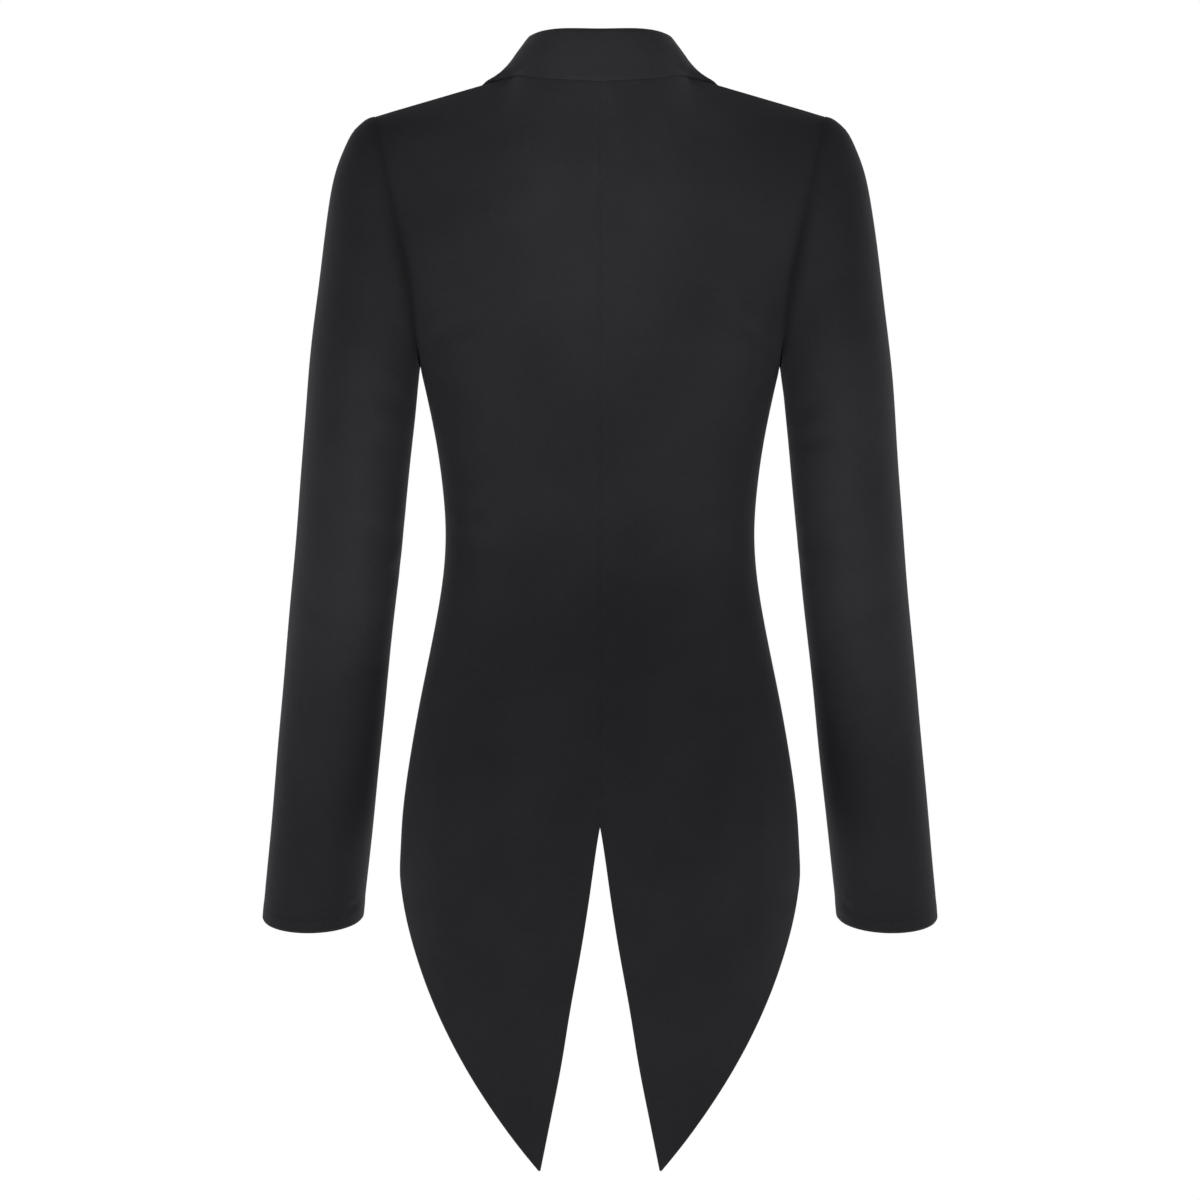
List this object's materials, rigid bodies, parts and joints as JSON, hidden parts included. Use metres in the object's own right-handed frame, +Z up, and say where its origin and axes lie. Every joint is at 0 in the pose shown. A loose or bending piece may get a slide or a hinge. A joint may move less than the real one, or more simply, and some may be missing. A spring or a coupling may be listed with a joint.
{
  "type": "tailcoat",
  "caption": "Women's tailcoat in smooth black cloth, filled out as worn: fitted back with centre seam and vent, pointed tails, cutaway fronts, notched lapels and long sleeves.",
  "frame": {"origin": "on the centre line at the height of the base of the neck, between the shoulders that carry the coat", "axes": "+X to the wearer's left, +Y to the wearer's back, +Z up"},
  "size_m": [0.5336, 0.2519, 0.8747],
  "materials": {
    "suiting": "matt smooth fine twill",
    "button": "satin"
  },
  "bodies": {
    "root": {"back_left": "suiting", "back_right": "suiting", "front_left": "suiting", "front_right": "suiting", "sleeve_left": "suiting", "sleeve_right": "suiting", "collar": "suiting", "lapel_left": "suiting", "lapel_right": "suiting", "button": "button"}
  },
  "joints": []
}
